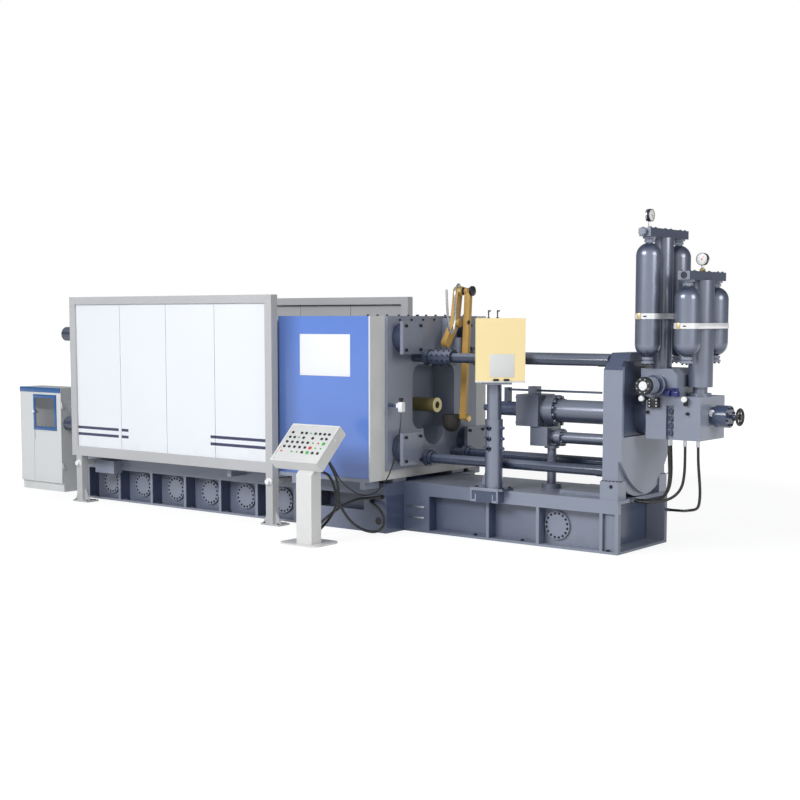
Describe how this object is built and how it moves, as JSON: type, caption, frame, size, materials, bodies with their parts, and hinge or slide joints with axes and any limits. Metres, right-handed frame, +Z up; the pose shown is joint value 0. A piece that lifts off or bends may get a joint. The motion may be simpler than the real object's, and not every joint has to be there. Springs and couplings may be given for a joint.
{
  "type": "die casting machine",
  "caption": "Cold chamber die casting machine on a long bed with toggle clamping end, guards, shot end, accumulators, ladling arm, console and control cabinet.",
  "frame": {"origin": "on the floor, on the machine centreline, under the die face of the fixed platen", "axes": "+X along the machine towards the injection end, +Y away from the operator side, +Z up"},
  "size_m": [12.269, 3.878, 4.0629],
  "materials": {
    "machine_blue_grey": "satin",
    "machine_dark": "satin",
    "guard_grey": "satin",
    "panel_white": "satin",
    "door_blue": "gloss",
    "plate_grey": "satin",
    "sleeve_steel": "satin",
    "polished_steel": "polished",
    "cylinder_rod": "polished",
    "box_cream": "satin",
    "arm_ochre": "satin",
    "ladle_iron": "matte",
    "console_white": "satin",
    "cabinet_grey": "satin",
    "hose_rubber": "matte",
    "gauge_white": "gloss"
  },
  "bodies": {
    "machine": {"clamp_base": "machine_blue_grey", "injection_base": "machine_blue_grey", "base_covers": "machine_blue_grey", "fixed_platen": "machine_blue_grey", "clamp_platens": "machine_blue_grey", "tie_bars": "polished_steel", "tie_nuts": "machine_blue_grey", "toggle_links": "machine_blue_grey", "clamp_cylinder": "machine_blue_grey", "bulkhead": "plate_grey", "near_guard_frame": "guard_grey", "near_guard_panels": "panel_white", "far_guard": "guard_grey", "far_door": "door_blue", "door_rails": "guard_grey", "shot_sleeve": "sleeve_steel", "injection_rods": "machine_dark", "end_plate": "machine_blue_grey", "shot_cylinder": "machine_blue_grey", "boost_cylinder": "machine_blue_grey", "support_column": "machine_blue_grey", "hmi_post": "machine_blue_grey", "ladler_base": "plate_grey", "ladler_arms": "arm_ochre", "main_block": "machine_blue_grey", "upper_block": "machine_blue_grey", "valve_bodies": "machine_dark", "large_accumulator": "machine_blue_grey", "small_accumulator": "machine_blue_grey", "gauges": "gauge_white", "bottle_bands": "polished_steel", "console_stand": "console_white", "console_head": "console_white", "cabinet_body": "cabinet_grey", "junction_box": "machine_blue_grey", "limit_switch": "plate_grey", "hose_a": "hose_rubber", "hose_b": "hose_rubber", "hose_c": "hose_rubber", "hose_d": "hose_rubber", "hose_fittings": "polished_steel", "loop_cable": "hose_rubber", "post_cable": "hose_rubber", "switch_cable": "hose_rubber", "cable_glands": "machine_dark"},
    "sliding_door": {"near_door": "door_blue"},
    "shot_plunger": {"plunger": "machine_dark"},
    "valve_wheel": {"handwheel": "machine_dark"},
    "pouring_ladle": {"ladle": "ladle_iron"},
    "cabinet_leaf": {"cabinet_door": "cabinet_grey"},
    "display_mast": {"hmi_mast": "machine_blue_grey", "hmi_box": "box_cream"}
  },
  "joints": [
    {"name": "door_slide", "type": "slide", "parent": "machine", "child": "sliding_door", "axis": [-1, 0, 0], "range_m": [0, 1]},
    {"name": "plunger_slide", "type": "slide", "parent": "machine", "child": "shot_plunger", "axis": [-1, 0, 0], "range_m": [0, 0.85]},
    {"name": "wheel_spin", "type": "hinge", "parent": "machine", "child": "valve_wheel", "pos_m": [4.958, 0, 1.66], "axis": [1, 0, 0], "continuous": true},
    {"name": "ladle_tilt", "type": "hinge", "parent": "machine", "child": "pouring_ladle", "pos_m": [0.915, 0.193, 1.467], "axis": [-1, 0, 0], "range_deg": [-10, 50]},
    {"name": "cabinet_door_hinge", "type": "hinge", "parent": "machine", "child": "cabinet_leaf", "pos_m": [-6.239, -0.842, 0.9], "axis": [0, 0, 1], "range_deg": [0, 110]},
    {"name": "display_lift", "type": "slide", "parent": "machine", "child": "display_mast", "axis": [0, 0, 1], "range_m": [-0.2, 0.1]}
  ]
}
